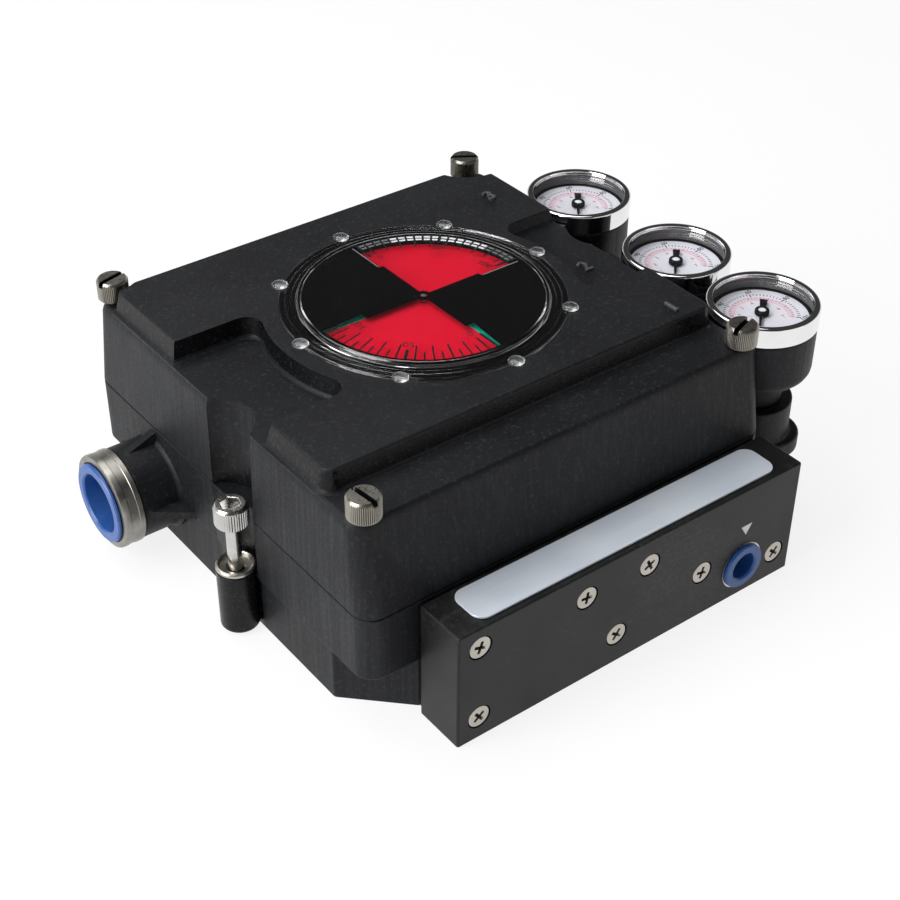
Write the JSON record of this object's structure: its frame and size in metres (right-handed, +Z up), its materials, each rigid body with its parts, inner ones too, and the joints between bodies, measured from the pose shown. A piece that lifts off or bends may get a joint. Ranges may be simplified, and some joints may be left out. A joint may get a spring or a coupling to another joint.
{
  "type": "valve positioner",
  "caption": "Rotary valve positioner: square two-shell black housing with a round indicator window, side gauges, a front air manifold, a conduit entry and captive screws.",
  "frame": {"origin": "shaft axis at the level of the housing's flat underside, on the shaft's end face", "axes": "+Z up along the shaft towards the window; -Y towards the air manifold; +X towards the gauges; -X towards the conduit entry"},
  "size_m": [0.2315, 0.1947, 0.0932],
  "materials": {
    "resin": "black glass-filled resin with a fine matt texture",
    "black_anodised": "black anodised, slightly scuffed",
    "seal_rubber": "matt black rubber",
    "nickel": "satin nickel plate",
    "stainless": "bright stainless steel",
    "chrome": "polished chrome",
    "brass": "machined brass",
    "aluminium": "machined aluminium",
    "blue_plastic": "blue polyethylene",
    "silver_foil": "satin silver foil, bare",
    "clear_plastic": "clear polycarbonate",
    "indicator_red": "red print on plastic",
    "black_print": "black print",
    "white_dial": "white enamel",
    "conduit_metal": "dull nickel, turned"
  },
  "bodies": {
    "housing": {"base_housing": "resin", "cover": "resin", "cover_seal": "seal_rubber", "window_lens": "clear_plastic", "window_seal": "seal_rubber", "indicator_mask": "black_print", "shaft_seal": "seal_rubber", "shaft_bushing": "brass", "pivot_pin": "stainless", "return_spring": "stainless", "mechanism_plate": "aluminium", "pilot_valve_body": "aluminium", "signal_diaphragm": "aluminium", "current_transducer": "resin", "terminal_block": "resin", "terminal_screw_1": "nickel", "terminal_screw_2": "nickel", "manifold_block": "black_anodised", "manifold_gasket": "seal_rubber", "manifold_screw_1": "nickel", "manifold_screw_2": "nickel", "manifold_screw_3": "nickel", "manifold_screw_4": "nickel", "manifold_screw_5": "nickel", "manifold_screw_6": "nickel", "manifold_screw_7": "nickel", "name_plate": "silver_foil", "supply_plug": "blue_plastic", "conduit_ring": "conduit_metal", "conduit_plug": "blue_plastic", "lug_bushing_left": "nickel", "lug_bushing_right": "nickel", "gauge_signal_case": "resin", "gauge_signal_bezel": "chrome", "gauge_signal_lens": "clear_plastic", "gauge_signal_dial": "white_dial", "gauge_second_case": "resin", "gauge_second_bezel": "chrome", "gauge_second_lens": "clear_plastic", "gauge_second_dial": "white_dial", "gauge_first_case": "resin", "gauge_first_bezel": "chrome", "gauge_first_lens": "clear_plastic", "gauge_first_dial": "white_dial"},
    "shaft": {"main_shaft": "stainless", "cam": "aluminium", "indicator_disc": "indicator_red", "shaft_snap_ring": "stainless"},
    "follower": {"follower_arm": "stainless"},
    "roller": {"follower_roller": "brass"},
    "spool": {"pilot_spool": "stainless"},
    "left_mounting_screw": {"mounting_screw_left": "stainless"},
    "right_mounting_screw": {"mounting_screw_right": "stainless"},
    "front_left_thumb_screw": {"thumb_screw_front_left": "nickel"},
    "front_right_thumb_screw": {"thumb_screw_front_right": "nickel"},
    "back_left_thumb_screw": {"thumb_screw_back_left": "nickel"},
    "back_right_thumb_screw": {"thumb_screw_back_right": "nickel"},
    "signal_pointer": {"gauge_signal_pointer": "black_print"},
    "second_pointer": {"gauge_second_pointer": "black_print"},
    "first_pointer": {"gauge_first_pointer": "black_print"}
  },
  "joints": [
    {"name": "shaft_turn", "type": "hinge", "parent": "housing", "child": "shaft", "pos_m": [0, 0, 0.045], "axis": [0, 0, 1], "range_deg": [0, 90]},
    {"name": "follower_swing", "type": "hinge", "parent": "housing", "child": "follower", "pos_m": [-0.032, 0.032, 0.045], "axis": [0, 0, 1], "range_deg": [-12, 0]},
    {"name": "roller_spin", "type": "hinge", "parent": "follower", "child": "roller", "pos_m": [-0.028, 0, 0.0418], "axis": [0, 0, 1], "continuous": true},
    {"name": "spool_shift", "type": "slide", "parent": "housing", "child": "spool", "axis": [1, 0, 0], "range_m": [-0.0005, 0.0005]},
    {"name": "left_screw_slide", "type": "slide", "parent": "housing", "child": "left_mounting_screw", "axis": [0, 0, -1], "range_m": [0, 0.017]},
    {"name": "right_screw_slide", "type": "slide", "parent": "housing", "child": "right_mounting_screw", "axis": [0, 0, -1], "range_m": [0, 0.017]},
    {"name": "front_left_thumb_turn", "type": "hinge", "parent": "housing", "child": "front_left_thumb_screw", "pos_m": [-0.0795, -0.0776, 0.0823], "axis": [0, 0, 1], "continuous": true},
    {"name": "front_right_thumb_turn", "type": "hinge", "parent": "housing", "child": "front_right_thumb_screw", "pos_m": [0.0774, -0.0776, 0.0823], "axis": [0, 0, 1], "continuous": true},
    {"name": "back_left_thumb_turn", "type": "hinge", "parent": "housing", "child": "back_left_thumb_screw", "pos_m": [-0.0795, 0.0772, 0.0823], "axis": [0, 0, 1], "continuous": true},
    {"name": "back_right_thumb_turn", "type": "hinge", "parent": "housing", "child": "back_right_thumb_screw", "pos_m": [0.0774, 0.0772, 0.0823], "axis": [0, 0, 1], "continuous": true},
    {"name": "signal_pointer_turn", "type": "hinge", "parent": "housing", "child": "signal_pointer", "pos_m": [0.1007, 0.0344, 0.079], "axis": [0, 0, 1], "range_deg": [-270, 0]},
    {"name": "second_pointer_turn", "type": "hinge", "parent": "housing", "child": "second_pointer", "pos_m": [0.1007, -0.021, 0.079], "axis": [0, 0, 1], "range_deg": [-270, 0]},
    {"name": "first_pointer_turn", "type": "hinge", "parent": "housing", "child": "first_pointer", "pos_m": [0.1007, -0.0652, 0.079], "axis": [0, 0, 1], "range_deg": [-270, 0]}
  ],
  "couplings": [
    {"joint": "follower_swing", "follows": "shaft_turn", "ratio": -0.13333}
  ]
}
